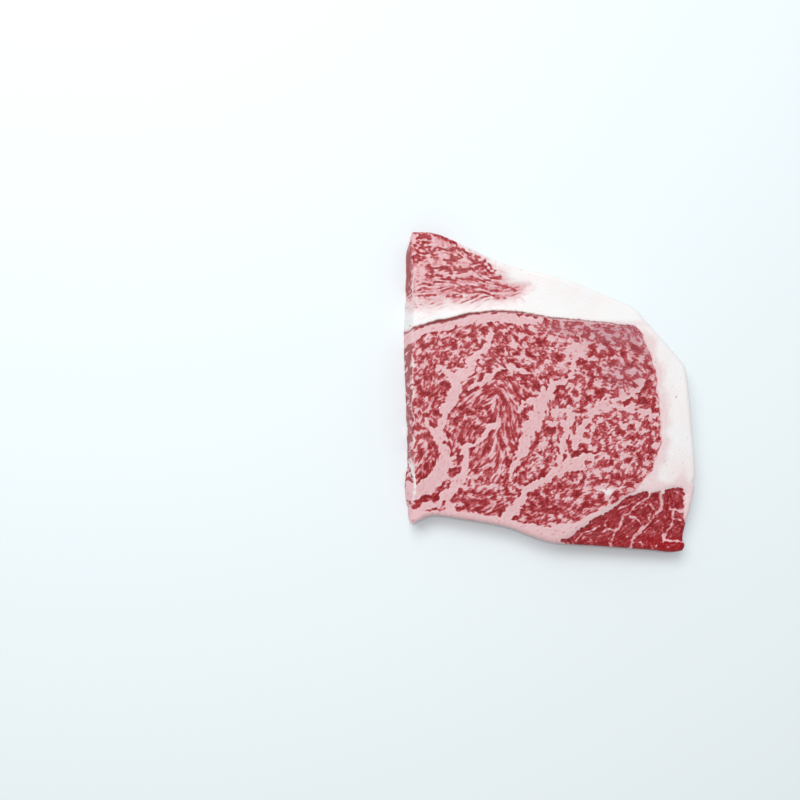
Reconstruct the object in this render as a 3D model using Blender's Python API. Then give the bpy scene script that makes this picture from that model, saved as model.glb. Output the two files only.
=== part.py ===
"""Half of a raw ribeye steak, lying flat: the half with the thick fat edge, as the knife left it.

Metres, with +Z up, +X to the right and +Y away from a viewer who looks down on the steak.
The origin is the middle of the steak's footprint, on the surface that it lies on.
The straight cut that halved the steak is on its left, and the fat edge runs round its far right.
"""

import math

import bmesh
import bpy
import numpy as np
from mathutils import Vector, noise

MM = 0.001

# Driving sizes in millimetres
THICKNESS = 14.0
CELL = 3.0
RIM_RADIUS = 2.2
CUT_RIM_RADIUS = 0.9
FOOT_RADIUS = 0.8
FOOT_INSET = 1.3
SIDE_BULGE = 0.7
CRAG_DEPTH = 0.45
CRAG_WIDTH = 5.0
CORNER_BLEND = 6.0

# How many rings of faces turn over the rim, go down the side and turn under at the foot
RIM_STEPS = 2
SIDE_STEPS = 3
FOOT_STEPS = 1

# The rim of the top face in millimetres, as four edges seen from above.
# The cap muscle and then the fat edge, from the cut to the far right corner
FAR_EDGE = [
    (-66.8, 78.5), (-58.7, 78.3), (-49.9, 75.6), (-29.3, 65.5), (-14.6, 60.4),
    (6.0, 55.5), (24.6, 48.1), (40.3, 41.3), (46.7, 34.4),
]
# The fat edge and the side of the lean tip, from far to near
RIGHT_EDGE = [
    (46.7, 34.4), (53.0, 27.6), (63.8, 15.3), (66.8, 8.5), (69.7, -19.5), (71.4, -39.1),
    (70.4, -44.5), (70.9, -48.9), (66.3, -69.9), (67.0, -75.3), (65.8, -78.3),
]
# The trimmed lower edge, from the cut to the lean tip
NEAR_EDGE = [
    (-67.5, -65.0), (-63.6, -63.1), (-57.7, -60.9), (-48.9, -61.4), (-21.9, -66.0),
    (-9.7, -70.4), (3.1, -74.1), (24.6, -75.8), (49.1, -77.8), (59.9, -79.0), (65.8, -78.3),
]
# The top of the cut, from near to far
CUT_EDGE = [
    (-67.5, -65.0), (-66.0, -47.9), (-67.0, -18.5), (-67.3, 20.7),
    (-66.0, 46.2), (-67.3, 69.7), (-66.8, 78.5),
]
# The foot of the cut, which slants out below its top
CUT_FOOT = [
    (-69.0, -63.1), (-71.4, -46.4), (-69.7, -37.1), (-70.4, -3.8), (-71.2, 14.8),
    (-71.4, 35.4), (-70.4, 45.2), (-70.9, 54.0), (-69.9, 63.8), (-70.9, 71.2), (-68.0, 74.4),
]

# The three muscles in millimetres, each inside its own skin, with fat between and round them
EYE_MUSCLE = [
    (-73, 30), (-61, 32.5), (-48.9, 35.2), (-36.6, 38.3), (-26.8, 39.3), (-14.6, 38.6), (0.1, 35.9),
    (41.8, 32), (46.7, 28.1), (51.6, 10.9), (52.1, -1.3), (51.1, -25.8), (49.1, -35.6),
    (45.7, -43), (40.3, -48.9), (12, -61), (-2, -65.5), (-12, -66), (-36, -61), (-73, -60),
]
CAP_MUSCLE = [
    (-73, 80), (-58.7, 80), (-48.9, 74.6), (-34.2, 65.8), (-24.4, 55), (-14.6, 51.6),
    (-21.9, 45.2), (-39.1, 43.7), (-73, 40),
]
LEAN_TIP = [
    (3.1, -73.4), (24.6, -63.6), (44.2, -50.3), (51.6, -51.3), (57.9, -47.4), (63.8, -46.9),
    (66, -50.3), (65.3, -67.5), (68, -80), (49, -80), (24.6, -77.5),
]
# How far the middle of each muscle stands above or below the general thickness
MUSCLE_RISE = ((EYE_MUSCLE, 0.5), (CAP_MUSCLE, -0.2), (LEAN_TIP, -0.6))
FAT_RISE = 0.6
SEAM_WIDTH = 5.0

# Places where the slice is thinner or thicker: middle, reach and height in millimetres
SWELLS = (
    ((-66, -62), 16, -2.2),
    ((62, -74), 18, -1.6),
    ((-64, 74), 16, -1.0),
    ((58, 8), 22, 0.6),
    ((-8, -12), 42, 0.7),
    ((8, 46), 20, 0.5),
)
ROLL_WIDTH = 22.0
ROLL_HEIGHT = 0.35

RAW_BEEF = (0.56, 0.17, 0.19, 1.0)
BEEF_ROUGHNESS = 0.42


def clear_scene():
    for obj in list(bpy.data.objects):
        bpy.data.objects.remove(obj, do_unlink=True)


def smooth_line(points, count):
    """count + 1 points, evenly spaced along the smooth curve through the given ones."""
    p = np.array(points, float)
    p = np.vstack([2 * p[0] - p[1], p, 2 * p[-1] - p[-2]])
    t = np.linspace(0, 1, 16, endpoint=False)[:, None]
    spans = [
        (2 * b + (c - a) * t + (2 * a - 5 * b + 4 * c - d) * t**2 + (3 * b - a - 3 * c + d) * t**3) / 2
        for a, b, c, d in zip(p, p[1:], p[2:], p[3:])
    ]
    line = np.vstack([*spans, p[-2:-1]])
    run = np.concatenate([[0], np.cumsum(np.hypot(*np.diff(line, axis=0).T))])
    places = np.linspace(0, run[-1], count + 1)
    return np.column_stack([np.interp(places, run, line[:, i]) for i in (0, 1)])


def loop_of(near, right, far, cut):
    """The four edges as one closed loop that runs anticlockwise from the near end of the cut."""
    return np.vstack([near[:-1], right[::-1][:-1], far[::-1][:-1], cut[::-1][:-1]])


def outward(loop):
    """The direction out of a closed anticlockwise loop at each of its points."""
    along = np.roll(loop, -1, axis=0) - np.roll(loop, 1, axis=0)
    along /= np.linalg.norm(along, axis=1)[:, None]
    return np.column_stack([along[:, 1], -along[:, 0]])


def evened(values, reach):
    """Each value round a closed loop averaged with its neighbours, reach of them on each side."""
    return sum(np.roll(values, k, axis=0) for k in range(-reach, reach + 1)) / (2 * reach + 1)


def outside(x, y, corners):
    """How far each point lies outside a closed outline: negative where it is inside."""
    place = np.column_stack([x, y])
    nearest = np.full(len(place), np.inf)
    inside = np.zeros(len(place), bool)
    for a, b in zip(corners, np.roll(corners, -1, axis=0)):
        along = b - a
        share = np.clip((place - a) @ along / (along @ along), 0, 1)
        nearest = np.minimum(nearest, np.linalg.norm(place - a - share[:, None] * along, axis=1))
        rises = (a[1] > place[:, 1]) != (b[1] > place[:, 1])
        crossing = a[0] + (place[:, 1] - a[1]) * along[0] / (along[1] or 1)
        inside ^= rises & (place[:, 0] < crossing)
    return np.where(inside, -nearest, nearest)


def top_height(x, y):
    """How high the top face is over each place, in millimetres."""
    z = np.full(len(x), THICKNESS)
    for (middle_x, middle_y), reach, height in SWELLS:
        z += height * np.exp(-((x - middle_x) ** 2 + (y - middle_y) ** 2) / (2 * reach**2))
    fat = np.ones(len(x))
    for muscle, rise in MUSCLE_RISE:
        depth = np.clip(0.5 - outside(x, y, np.array(muscle, float)) / SEAM_WIDTH, 0, 1)
        depth = depth * depth * (3 - 2 * depth)
        z += rise * depth
        fat -= depth
    z += FAT_RISE * np.clip(fat, 0, 1)
    rolls = [noise.noise(Vector((a / ROLL_WIDTH, b / ROLL_WIDTH, 0.5))) for a, b in zip(x, y)]
    return z + ROLL_HEIGHT * 2 * np.array(rolls)


def side_levels():
    """Each ring's part of the side and its share of the way along that part, from the top down."""
    levels = [("rim", k / RIM_STEPS) for k in range(RIM_STEPS + 1)]
    levels += [("side", k / SIDE_STEPS) for k in range(1, SIDE_STEPS + 1)]
    levels += [("foot", k / FOOT_STEPS) for k in range(1, FOOT_STEPS + 1)]
    return levels


def side_rings(rim, foot, radius, natural):
    """Rings of (x, y, z) points from the top face's border, over the rim and down to the floor."""
    out = outward(rim)
    top = top_height(rim[:, 0], rim[:, 1])
    rings = []
    for part, share in side_levels():
        turn = share * math.pi / 2
        inset = np.zeros(len(rim))
        if part == "rim":
            z = top - radius * (1 - math.cos(turn))
            inset = radius * (1 - math.sin(turn))
        elif part == "side":
            z = (top - radius) * (1 - share) + FOOT_RADIUS * share
        else:
            z = FOOT_RADIUS * (1 - math.sin(turn)) * np.ones(len(rim))
            inset = FOOT_RADIUS * (1 - math.cos(turn)) * np.ones(len(rim))
        height = z / top
        bulge = SIDE_BULGE * natural * np.sin(math.pi * height)
        place = foot + (rim - foot) * height[:, None]
        crag = np.array([
            noise.noise(Vector((a / CRAG_WIDTH, b / CRAG_WIDTH, c / CRAG_WIDTH / 2)))
            for (a, b), c in zip(place, z)
        ])
        place = place + out * (bulge + CRAG_DEPTH * crag * (part != "rim") - inset)[:, None]
        rings.append(np.column_stack([place, z]))
    return rings


def spread(border, columns, rows):
    """Fills a closed border of 2 * (columns + rows) points with a grid of rows by columns cells."""
    near = border[: columns + 1]
    right = border[columns : columns + rows + 1]
    far = border[columns + rows : 2 * columns + rows + 1][::-1]
    left = np.vstack([border[2 * columns + rows :], border[:1]])[::-1]
    u = np.linspace(0, 1, columns + 1)[None, :, None]
    v = np.linspace(0, 1, rows + 1)[:, None, None]
    sides = (1 - v) * near[None] + v * far[None] + (1 - u) * left[:, None] + u * right[:, None]
    corners = (1 - v) * ((1 - u) * near[0] + u * near[-1]) + v * ((1 - u) * far[0] + u * far[-1])
    return sides - corners


def border_indices(columns, rows):
    """Which points of a grid are on its border, in the order of the loop."""
    index = np.arange((columns + 1) * (rows + 1)).reshape(rows + 1, columns + 1)
    return np.concatenate([index[0, :-1], index[:-1, -1], index[-1, :0:-1], index[:0:-1, 0]])


def steak_mesh():
    length = sum(math.dist(a, b) for a, b in zip(NEAR_EDGE, NEAR_EDGE[1:]))
    depth = sum(math.dist(a, b) for a, b in zip(CUT_EDGE, CUT_EDGE[1:]))
    columns, rows = round(length / CELL), round(depth / CELL)
    near = smooth_line(NEAR_EDGE, columns)
    far = smooth_line(FAR_EDGE, columns)
    right = smooth_line(RIGHT_EDGE[::-1], rows)[::-1]
    cut = smooth_line(CUT_EDGE, rows)
    rim = loop_of(near, right, far, cut)

    # The foot is a little inside the rim, except under the cut, where it slants out
    foot = rim - FOOT_INSET * outward(rim)
    foot[-rows:] = smooth_line(CUT_FOOT, rows)[::-1][:-1]
    natural = np.ones(len(rim))
    natural[-rows:] = 0
    reach = round(CORNER_BLEND / CELL)
    foot = rim + evened(foot - rim, reach)
    natural = evened(natural, reach)
    radius = CUT_RIM_RADIUS + (RIM_RADIUS - CUT_RIM_RADIUS) * natural
    rings = side_rings(rim, foot, radius, natural)

    # The top face starts as a grid primitive and is drawn out to the first ring
    mesh = bpy.data.meshes.new("steak")
    shape = bmesh.new()
    bmesh.ops.create_grid(shape, x_segments=columns, y_segments=rows, size=1)
    place = spread(rings[0][:, :2], columns, rows).reshape(-1, 2)
    height = top_height(place[:, 0], place[:, 1])
    ordered = sorted(shape.verts, key=lambda vert: (round(vert.co.y, 4), round(vert.co.x, 4)))
    for vert, (x, y), z in zip(ordered, place, height):
        vert.co = Vector((x, y, z)) * MM
    above = [ordered[i] for i in border_indices(columns, rows)]

    # The side hangs from the top face ring by ring, and one flat face closes it below
    for ring in rings[1:]:
        below = [shape.verts.new(Vector(point) * MM) for point in ring]
        for i, vert in enumerate(above):
            nearer = i - 1
            shape.faces.new((above[nearer], vert, below[i], below[nearer]))
        above = below
    shape.faces.new(above)
    bmesh.ops.recalc_face_normals(shape, faces=shape.faces)
    bmesh.ops.triangulate(shape, faces=[face for face in shape.faces if len(face.verts) > 4])
    shape.to_mesh(mesh)
    shape.free()
    return mesh


def centre_over_origin(mesh):
    """Moves the mesh so that the middle of its footprint is the origin and it stands on the floor."""
    place = np.array([vert.co for vert in mesh.vertices])
    low, high = place.min(axis=0), place.max(axis=0)
    for vert in mesh.vertices:
        vert.co -= Vector(((low[0] + high[0]) / 2, (low[1] + high[1]) / 2, low[2]))


def raw_beef():
    """Fresh cut meat: red and pink, with a thin wet film."""
    material = bpy.data.materials.new("raw_beef")
    material.use_nodes = True
    shader = material.node_tree.nodes["Principled BSDF"]
    shader.inputs["Base Color"].default_value = RAW_BEEF
    shader.inputs["Roughness"].default_value = BEEF_ROUGHNESS
    shader.inputs["Metallic"].default_value = 0.0
    return material


def build_steak():
    mesh = steak_mesh()
    centre_over_origin(mesh)
    mesh.shade_smooth()
    mesh.materials.append(raw_beef())
    steak = bpy.data.objects.new("steak", mesh)
    steak.location = (0, 0, 0)
    return steak


def main():
    clear_scene()
    collection = bpy.data.collections.new("raw_ribeye_steak")
    bpy.context.scene.collection.children.link(collection)
    collection.objects.link(build_steak())


main()
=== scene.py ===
"""Looks of the raw ribeye steak: its marbling, its fat, the relief of its cut faces and its wet film."""
import math
from types import SimpleNamespace

import bpy
import numpy as np
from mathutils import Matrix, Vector, noise


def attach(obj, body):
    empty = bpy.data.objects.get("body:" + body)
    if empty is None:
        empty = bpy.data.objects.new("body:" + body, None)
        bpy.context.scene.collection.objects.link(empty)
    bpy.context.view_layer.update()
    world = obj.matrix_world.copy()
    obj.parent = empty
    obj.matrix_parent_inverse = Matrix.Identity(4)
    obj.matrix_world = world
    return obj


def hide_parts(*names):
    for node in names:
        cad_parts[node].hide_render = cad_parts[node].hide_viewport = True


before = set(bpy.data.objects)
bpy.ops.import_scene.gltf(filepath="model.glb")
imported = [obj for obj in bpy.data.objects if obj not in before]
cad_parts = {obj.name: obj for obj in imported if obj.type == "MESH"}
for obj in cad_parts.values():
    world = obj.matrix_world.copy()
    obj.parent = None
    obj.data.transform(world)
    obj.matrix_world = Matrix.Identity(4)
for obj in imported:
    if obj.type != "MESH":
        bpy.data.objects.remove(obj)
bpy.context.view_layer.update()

MM = 0.001

# Sizes of the steak in millimetres, as its solid has them
THICKNESS = 14.0
RIM_RADIUS = 2.2
CUT_RIM_RADIUS = 0.9
FOOT_RADIUS = 0.8
FOOT_INSET = 1.3
SIDE_BULGE = 0.7
CRAG_DEPTH = 0.45
CRAG_WIDTH = 5.0
CORNER_BLEND = 6.0
OFFSET_BLEND = 4.0

# The rim of the top face, side by side, and the foot of the slanted cut side
FAR_EDGE = [
    (-66.8, 78.5), (-58.7, 78.3), (-49.9, 75.6), (-29.3, 65.5), (-14.6, 60.4),
    (6.0, 55.5), (24.6, 48.1), (40.3, 41.3), (46.7, 34.4), (53.0, 27.6), (63.8, 15.3),
]
RIGHT_EDGE = [
    (63.8, 15.3), (66.8, 8.5), (69.7, -19.5), (71.4, -39.1),
    (70.4, -44.5), (70.9, -48.9), (66.3, -69.9), (67.0, -75.3), (65.8, -78.3),
]
NEAR_EDGE = [
    (-67.5, -65.0), (-63.6, -63.1), (-57.7, -60.9), (-48.9, -61.4), (-21.9, -66.0),
    (-9.7, -70.4), (3.1, -74.1), (24.6, -75.8), (49.1, -77.8), (59.9, -79.0), (65.8, -78.3),
]
CUT_EDGE = [
    (-67.5, -65.0), (-66.0, -47.9), (-67.0, -18.5), (-67.3, 20.7),
    (-66.0, 46.2), (-67.3, 69.7), (-66.8, 78.5),
]
CUT_FOOT = [
    (-69.0, -63.1), (-71.4, -46.4), (-69.7, -37.1), (-70.4, -3.8), (-71.2, 14.8),
    (-71.4, 35.4), (-70.4, 45.2), (-70.9, 54.0), (-69.9, 63.8), (-70.9, 71.2), (-68.0, 74.4),
]
# The muscles' outlines, which run out past the rim where the steak was cut
EYE_MUSCLE = [
    (-80, 28.5), (-61, 32.5), (-48.9, 35.2), (-36.6, 38.3), (-26.8, 39.3), (-14.6, 38.6), (0.1, 35.9),
    (40.8, 31.6), (44.9, 27.6), (50.8, 10.9), (52.3, -4), (53.8, -17), (53.6, -24), (52, -31),
    (49.6, -37.5), (45.7, -43), (40.3, -48.9), (28.5, -55.8), (12, -64.2), (-2, -66.4), (-12, -64.6),
    (-36, -59.6), (-62, -58.2), (-80, -58.2),
]
CAP_MUSCLE = [
    (-80, 84), (-56, 84), (-47, 76), (-43.5, 71.5), (-35, 67.6), (-29, 63.3), (-26, 57.8), (-19, 54),
    (-10, 51.6), (-16, 43), (-39.1, 40.8), (-80, 36.5),
]
LEAN_TIP = [
    (3.1, -73.4), (9.9, -70.6), (18.1, -64.4), (25.6, -60), (33.8, -54.3), (38.2, -50.8), (45.1, -49),
    (47.6, -49.3), (48.4, -51.5), (50.1, -49.9), (53.9, -48.8), (55, -50.3), (56.1, -50.3), (56.7, -48),
    (60.2, -47.1), (64.6, -47.4), (65.8, -49.9), (65.8, -55.6), (65.2, -58.1), (65.8, -61.2), (66, -72.5),
    (68, -80), (49, -80), (24.6, -77.5),
]
# How far each muscle and the fat stand up, and over what width one turns to the other
MUSCLE_RISE = ((EYE_MUSCLE, 0.5), (CAP_MUSCLE, -0.2), (LEAN_TIP, -0.6))
FAT_RISE = 0.6
SEAM_WIDTH = 5.0
# Broad swells of the top face: ((x, y), reach, height), and lower rolls all over it
SWELLS = (
    ((-66, -62), 16, -2.2),
    ((62, -74), 18, -1.6),
    ((-64, 74), 16, -1.0),
    ((58, 8), 22, 0.6),
    ((-8, -12), 42, 0.7),
    ((8, 46), 20, 0.5),
)
ROLL_WIDTH = 22.0
ROLL_HEIGHT = 0.35
# Fat stands a little proud of lean, and the seam is a shallow groove
FAT_PROUD = 0.12
SEAM_GROOVE = 0.25

# The finer mesh of the visible steak
CELL = 0.52
CURVE_STEPS = 16
UNDER_CELLS = 3
EVENING_ROUNDS = 400
UNDER_BLUR = 0.5
# How far the marbling strays sideways on its way down through the steak, and over what lengths
DEEP_STRAY = 4.0
DEEP_WIDTH = 9
DEEP_LENGTH = 7
# Where the sides get painted shade, darker and deeper red lean, and painted light, paler pink fat: at lower x
# than the first, and at the tip at higher x and lower y than the second
CUT_SHADE_FROM = -60
TIP_SHADE_FROM = (4, -70)
RIM_STEPS = 3
SIDE_STEPS = 6
FOOT_STEPS = 2

# The plan that the marbling is worked out on
PLAN_CELL = 0.3
PLAN_LOW = (-77.0, -84.0)
PLAN_HIGH = (77.0, 84.0)

# Fat that runs through the eye muscle, as lines of (x, y, width) in millimetres
FAT_CHANNELS = {
    "under the skin": [
        (-71.5, 25, 5.9), (-67.5, 27, 4.9), (-61, 30, 3.9), (-49, 32.5, 3.9), (-36.5, 35.5, 3.9),
        (-27, 36.5, 4.4), (-18.5, 35.5, 4.9), (-10.5, 34.5, 3.9), (-3.5, 35, 1.5),
    ],
    "cut side branch": [
        (-29, 27.5, 3.4), (-32, 21.5, 3.4), (-36, 17.5, 3.4), (-38.7, 12.7, 4.4), (-45.3, 6.5, 7),
        (-46, 1, 5.9), (-48.5, -5, 4.9), (-51.5, -10, 3.9), (-53, -16, 3.4), (-53.5, -20.5, 4.4),
        (-52.5, -26.5, 3.4), (-49.5, -32.5, 2.9),
    ],
    "its arm": [(-54, 12, 2), (-50.5, 9, 3.4), (-46, 7, 4.9)],
    "its feeder": [(-61.5, -13, 1.5), (-58.5, -17, 2.4), (-55.5, -21.5, 3.9), (-53.5, -24, 2.9)],
    "arc": [
        (-51, -31, 4.9), (-52, -36, 7.4), (-54, -40.5, 7.4), (-58.5, -45, 6.4), (-63.5, -48.5, 7.4),
        (-73, -51, 7.4),
    ],
    "arc twig": [
        (-49.5, -33, 2), (-42.5, -29, 1.5), (-39.5, -26.5, 2.4), (-35.5, -24.5, 2), (-33, -22.5, 2),
        (-29, -17.5, 3.4), (-26.5, -14.5, 1),
    ],
    "leaf": [
        (-41, -28.5, 1.5), (-40.5, -32, 2.4), (-41.5, -36, 3.9), (-42.5, -40.5, 5.4), (-45, -44.5, 5.4),
        (-48, -48, 4.9), (-51.5, -51.5, 3.9), (-54.5, -54.5, 3.4), (-60, -56.5, 2.4), (-64.5, -58, 1.5),
    ],
    "over the swirl": [
        (-40, 1.5, 1), (-34, 4.5, 2), (-30, 8, 2.4), (-25, 11, 2.4), (-18.5, 12, 2.4), (-14, 9.5, 2),
        (-9.5, 9, 1.5),
    ],
    "middle branch": [
        (13.5, 21.5, 4.9), (11.5, 17, 3.9), (10.5, 12, 2), (10.5, 8.5, 2.4), (6.5, 5, 2), (1.5, 4, 2.4),
        (-1.5, 0.5, 4.9), (-4, -4.5, 5.9), (-6, -10.5, 6.4), (-9, -17, 6.9), (-12, -22.5, 6.4),
        (-14, -28, 4.9), (-15.5, -32.5, 2.9), (-18.5, -38.5, 2),
    ],
    "middle arm": [(-6.5, -3.5, 2.9), (-11.5, -6, 2.4), (-16, -9, 1.5)],
    "near branch": [
        (23.5, -29.5, 1.5), (19, -32, 3.4), (13, -34.5, 5.9), (7.5, -36.5, 6.4), (2.5, -39.5, 4.4),
        (-1.5, -42, 3.4), (-7, -45, 4.4), (-12, -49, 3.4), (-15.5, -54.5, 4.4), (-19, -58.5, 4.4),
        (-22.5, -62.5, 3.9),
    ],
    "rim side branch": [
        (45.5, 6, 1.5), (43, 2, 2.4), (38, -2.5, 2.9), (31, -4, 2.9), (24.5, -6, 3.9), (21, -10, 3.9),
        (17.5, -15, 2.9), (14, -21, 3.9), (11, -26, 3.4),
    ],
    "rim side arm": [(51.5, -11, 2), (45.5, -10, 2.9), (39.5, -9, 3.4), (34.5, -8, 2.4), (29.5, -6, 2)],
    "fan": [
        (2, -9.5, 1), (8, -8.5, 3.9), (11, -11.5, 3.9), (9, -16.5, 3.4), (6.5, -23.5, 2.9), (6, -29.5, 2.9),
        (5, -34, 3.9),
    ],
    "near the cut": [(-47.5, -55, 3.9), (-49, -59, 5.9)],
}

# Thin sheets of fat in the lean tip, as lines of (x, y, width)
TIP_SHEETS = [
    [(48.2, -51.5, 1), (43.8, -54.3, 0.7), (40.1, -58.1, 0.7), (36.3, -61.2, 0.8), (34.4, -64.4, 1.2),
     (32.2, -67.8, 1.2), (28.8, -67.2, 0.9), (26.9, -65, 0.8), (27.2, -63.1, 0.5)],
    [(32.2, -67.8, 0.6), (31.6, -71.3, 0.5), (30.7, -73.8, 0.8), (29.4, -74.4, 1.4), (30, -77, 0.7)],
    [(39.4, -60.9, 1.5), (42, -61.2, 1.4), (43.8, -62.5, 1), (44.8, -64.4, 0.6)],
    [(54.5, -50, 1.6), (54.8, -55.6, 1.5), (54.5, -58.1, 2), (51.4, -60, 0.9), (49.5, -63.7, 0.9),
     (47.6, -65.9, 1.2), (45.1, -67.5, 2.2), (43.2, -70, 1.9), (40.7, -72.5, 1.2), (39.4, -74.4, 1.3),
     (38.8, -77, 1.8)],
    [(49.1, -64.4, 0.5), (47.6, -60.6, 0.5)],
    [(50.1, -54.9, 1.8), (50.7, -57.4, 1.6)],
    [(59.5, -57.8, 0.9), (63.3, -58.4, 1.3), (66.5, -57.8, 2.2)],
    [(60.8, -59.3, 1.2), (60.2, -63.1, 0.8), (59.5, -66.2, 0.8), (57.7, -69.4, 1.6), (56.1, -70.6, 2.6),
     (57, -73.1, 1.9), (59.5, -73.1, 1.4), (63.3, -72.5, 0.9)],
    [(56.1, -70.6, 1), (54.8, -67.8, 0.4)],
    [(56.1, -71, 1), (56.4, -74.5, 0.5)],
    [(60.2, -62.5, 0.5), (64.6, -62.2, 0.5)],
    [(45.1, -73.1, 0.4), (45.7, -76.3, 0.7)],
    [(33.8, -57.8, 0.6), (36.3, -56.5, 1.2), (38.2, -55.9, 0.5)],
    [(62, -73.1, 1), (65.8, -73.8, 1.3)],
    [(10, -73.5, 0.5), (19.5, -67.5, 0.6), (24.5, -65.5, 0.5)],
]

# Strokes of lean that show in the pale cap muscle, as lines of (x, y, width)
CAP_STROKES = [
    [(-66.2, 78.4, 0.8), (-58.7, 78.1, 1), (-54.3, 76.7, 1.5), (-50.7, 74.6, 2), (-47.1, 73.2, 1.7),
     (-44.7, 71.3, 0.8)],
    [(-64.4, 75.1, 1.4), (-61.4, 76, 1.8), (-58.7, 75.1, 1.4)],
    [(-63.2, 73.9, 0.7), (-59.6, 73.6, 0.8)],
    [(-66.2, 71.5, 0.8), (-65, 69.1, 0.9), (-62.3, 67.6, 1.1), (-59.3, 68.5, 1.1), (-59, 70.6, 0.8),
     (-61.4, 72.4, 0.6), (-64.4, 72.7, 0.6)],
    [(-63.8, 70.3, 0.7), (-61.4, 70.9, 0.8)],
    [(-59, 67.8, 1), (-56, 69.4, 0.8), (-52.5, 70.4, 0.8), (-49.5, 69.4, 1.1), (-46.5, 69.8, 1.5),
     (-42.6, 69.4, 1.6)],
    [(-58.1, 66.1, 0.9), (-55.5, 65.5, 0.9)],
    [(-66.8, 66.1, 1.5), (-64.4, 65.5, 1.7), (-61.4, 65.8, 0.9)],
    [(-65.6, 63.7, 1.1), (-62, 64.6, 1)],
    [(-47.7, 67.6, 1.1), (-47.7, 64.9, 2.3), (-48.3, 62.3, 1.4)],
    [(-51.3, 64.6, 0.8), (-47.7, 64.8, 1.6), (-43.5, 64.6, 0.8)],
    [(-50.1, 63.1, 0.8), (-47.1, 65.5, 1.2), (-44.1, 66.4, 0.7)],
    [(-41.7, 67.8, 1.8), (-38.7, 67.6, 0.9), (-39.9, 65.8, 0.9), (-37.5, 64.3, 1.3), (-35.1, 64.8, 1.1),
     (-36, 66.4, 0.9)],
    [(-38.1, 62.3, 1.3), (-35.1, 62.7, 1.3), (-32.1, 63.5, 0.9)],
    [(-46.2, 60.2, 1.5), (-43.5, 59.9, 2), (-39.9, 59.1, 1.7), (-36.9, 59.4, 1.7), (-34.5, 61.1, 1.2),
     (-32.7, 61.4, 0.9)],
    [(-32.1, 60.5, 1.4), (-29.2, 62.3, 1.1)],
    [(-33.3, 57.8, 1.1), (-30.4, 58.4, 1.3), (-28.9, 59.9, 0.8)],
    [(-29.2, 57.5, 1.3), (-26.5, 58.1, 0.9)],
    [(-59, 61.4, 1.3), (-56.9, 59.9, 1.7), (-57.2, 56.6, 1.1)],
    [(-54.3, 60.8, 1.3), (-51.3, 59.9, 2.1), (-48.3, 57.5, 1.5)],
    [(-59.6, 56.6, 1.5), (-57.2, 56, 1.1)],
    [(-55.5, 57.8, 1.1), (-53.7, 56.6, 1)],
    [(-53.1, 54.8, 1.1), (-49.5, 54.8, 1.7), (-45.3, 53.9, 1.1)],
    [(-44.7, 55.9, 0.9), (-39.9, 54.7, 0.9), (-35.7, 54.9, 0.9), (-31.5, 54.1, 0.7), (-28, 54.5, 0.7),
     (-24.7, 55.1, 0.8)],
    [(-62, 52.6, 0.7), (-59, 52.3, 1), (-55.5, 53, 0.7), (-52.8, 53.5, 0.5)],
    [(-53.1, 49.4, 0.4), (-48.3, 50, 0.7), (-39.9, 50.6, 0.8), (-35.1, 51.2, 0.7), (-30.4, 51.5, 0.5)],
    [(-47.7, 47, 0.4), (-42.3, 49.4, 0.7), (-37.5, 49.4, 0.7), (-31.5, 48.2, 0.8), (-27.4, 47, 0.7),
     (-21.4, 44.9, 0.5)],
    [(-42.3, 44.6, 0.3), (-37.5, 46.4, 0.6), (-32.9, 47.9, 0.7), (-28, 49.4, 0.7), (-22, 50.6, 0.6),
     (-14.8, 51.2, 0.5)],
    [(-63.8, 46.1, 0.4), (-59, 46.4, 0.6), (-56, 47, 0.4)],
    [(-63.5, 49.4, 0.5), (-60.5, 49.7, 0.5)],
    [(-50.7, 46.4, 0.4), (-45.3, 46.4, 0.6), (-43.5, 47, 0.4)],
    [(-26.8, 52.4, 0.4), (-22, 51.2, 0.5), (-16.6, 49.4, 0.3)],
]

# Places with more fat or more lean than their surroundings: (x, y, half width, half height, strength)
PALE_SPOTS = [
    (-17.5, 22.5, 2, 2.5, 1.2), (-15, 16.5, 4, 1, 1.3), (-4, 10.5, 4, 2, 1.2), (5.5, 10.5, 3.5, 2.5, 1),
    (4, 25, 4.5, 4.5, 0.8), (-7.5, 30.5, 3.5, 2, 0.9), (-12, 23.5, 2, 1.5, 0.8), (13, 19.5, 5, 4, 1.6),
    (17.5, -22.5, 6, 4, 0.9), (24.5, -8.5, 8, 3, 0.7), (35.5, -28.5, 3.5, 6, 0.6), (24.5, -38, 7, 3, 0.6),
    (-2.5, -26, 2.5, 2.5, 0.7), (-6.5, -34, 3.5, 3, 0.7), (27, -47, 4.5, 2, 1.2), (19.5, -48, 5, 2.5, 0.5),
    (2, -12.5, 4.5, 4, 1.2), (0.5, -5, 3.5, 3, 0.8), (13, 1, 4, 2, 1), (25, -15, 4, 3, 1),
    (41, -12, 5, 2, 1), (-52, 8, 3, 3, 0.8), (-15, 33, 4, 2, 1.2), (10, -53, 3, 2.5, 0.8),
    (3, -50, 3, 2, 0.7), (40, -38, 2.5, 3, 0.8), (-4, -22, 2.5, 3, 0.8), (-65, -31, 2, 3, 0.7),
    (-28.5, -29.5, 2.5, 3, 0.6), (-26, -38, 2, 4, 0.7), (-30, -47, 4.5, 2, 0.6), (-38, -43, 2.5, 3.5, 0.8),
]
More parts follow.
